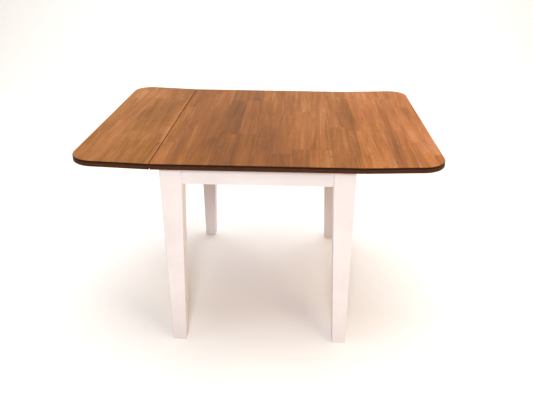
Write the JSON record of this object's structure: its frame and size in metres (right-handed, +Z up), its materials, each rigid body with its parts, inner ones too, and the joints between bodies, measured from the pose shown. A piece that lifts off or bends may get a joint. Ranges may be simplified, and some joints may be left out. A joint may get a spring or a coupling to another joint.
{
  "type": "drop leaf table",
  "caption": "Rectangular table with a fixed centre top, a folding leaf at each end on hinges and folding stays, and a painted frame on square tapered legs.",
  "frame": {"origin": "on the floor, under the middle of the table", "axes": "+X along the table from the left leaf to the right leaf, +Y from the front edge to the back edge, +Z up"},
  "size_m": [1.2812, 0.98, 0.7697],
  "materials": {
    "top_wood": "stained and lacquered, satin",
    "base_paint": "off-white paint, satin",
    "raw_wood": "bare, sanded",
    "hinge_steel": "bronzed, satin",
    "zinc": "zinc plated",
    "nylon": "moulded"
  },
  "bodies": {
    "table_frame": {"apron_dowels": "raw_wood", "back_apron": "base_paint", "back_left_corner_block": "raw_wood", "back_left_leg": "base_paint", "back_right_corner_block": "raw_wood", "back_right_leg": "base_paint", "centre_panel": "top_wood", "corner_block_screws": "zinc", "front_apron": "base_paint", "front_left_corner_block": "raw_wood", "front_left_leg": "base_paint", "front_right_corner_block": "raw_wood", "front_right_leg": "base_paint", "hanger_bolt_nuts": "zinc", "hanger_bolt_washers": "zinc", "hanger_bolts": "zinc", "left_apron": "base_paint", "left_hinge_fixed_flaps": "hinge_steel", "left_hinge_panel_screws": "zinc", "left_hinge_pins": "hinge_steel", "left_stay_bracket_screws": "zinc", "left_stay_brackets": "hinge_steel", "left_stay_rivets": "hinge_steel", "right_apron": "base_paint", "right_hinge_fixed_flaps": "hinge_steel", "right_hinge_panel_screws": "zinc", "right_hinge_pins": "hinge_steel", "right_stay_bracket_screws": "zinc", "right_stay_brackets": "hinge_steel", "right_stay_rivets": "hinge_steel", "top_fixing_angles": "hinge_steel", "top_fixing_screws": "zinc"},
    "left_back_stay_body": {"left_back_stay": "hinge_steel", "left_back_stay_tip": "nylon"},
    "left_front_stay_body": {"left_front_stay": "hinge_steel", "left_front_stay_tip": "nylon"},
    "left_leaf_body": {"left_hinge_leaf_flaps": "hinge_steel", "left_hinge_leaf_screws": "zinc", "left_leaf": "top_wood", "left_striker_screws": "zinc", "left_strikers": "hinge_steel"},
    "right_back_stay_body": {"right_back_stay": "hinge_steel", "right_back_stay_tip": "nylon"},
    "right_front_stay_body": {"right_front_stay": "hinge_steel", "right_front_stay_tip": "nylon"},
    "right_leaf_body": {"right_hinge_leaf_flaps": "hinge_steel", "right_hinge_leaf_screws": "zinc", "right_leaf": "top_wood", "right_striker_screws": "zinc", "right_strikers": "hinge_steel"}
  },
  "joints": [
    {"name": "left_leaf_fold", "type": "hinge", "parent": "table_frame", "child": "left_leaf_body", "pos_m": [-0.361, 0, 0.7335], "axis": [0, -1, 0], "range_deg": [0, 92]},
    {"name": "left_front_stay_pivot", "type": "hinge", "parent": "table_frame", "child": "left_front_stay_body", "pos_m": [-0.346, -0.17, 0.683], "axis": [0, -1, 0], "range_deg": [0, 105.6]},
    {"name": "left_back_stay_pivot", "type": "hinge", "parent": "table_frame", "child": "left_back_stay_body", "pos_m": [-0.346, 0.17, 0.683], "axis": [0, -1, 0], "range_deg": [0, 105.6]},
    {"name": "right_leaf_fold", "type": "hinge", "parent": "table_frame", "child": "right_leaf_body", "pos_m": [0.35965, 0, 0.7335], "axis": [0, 1, 0], "range_deg": [0, 92]},
    {"name": "right_front_stay_pivot", "type": "hinge", "parent": "table_frame", "child": "right_front_stay_body", "pos_m": [0.34465, -0.17, 0.683], "axis": [0, 1, 0], "range_deg": [0, 105.6]},
    {"name": "right_back_stay_pivot", "type": "hinge", "parent": "table_frame", "child": "right_back_stay_body", "pos_m": [0.34465, 0.17, 0.683], "axis": [0, 1, 0], "range_deg": [0, 105.6]}
  ],
  "couplings": [
    {"joint": "left_front_stay_pivot", "follows": "left_leaf_fold", "ratio": 1.146},
    {"joint": "left_back_stay_pivot", "follows": "left_leaf_fold", "ratio": 1.146},
    {"joint": "right_front_stay_pivot", "follows": "right_leaf_fold", "ratio": 1.146},
    {"joint": "right_back_stay_pivot", "follows": "right_leaf_fold", "ratio": 1.146}
  ]
}
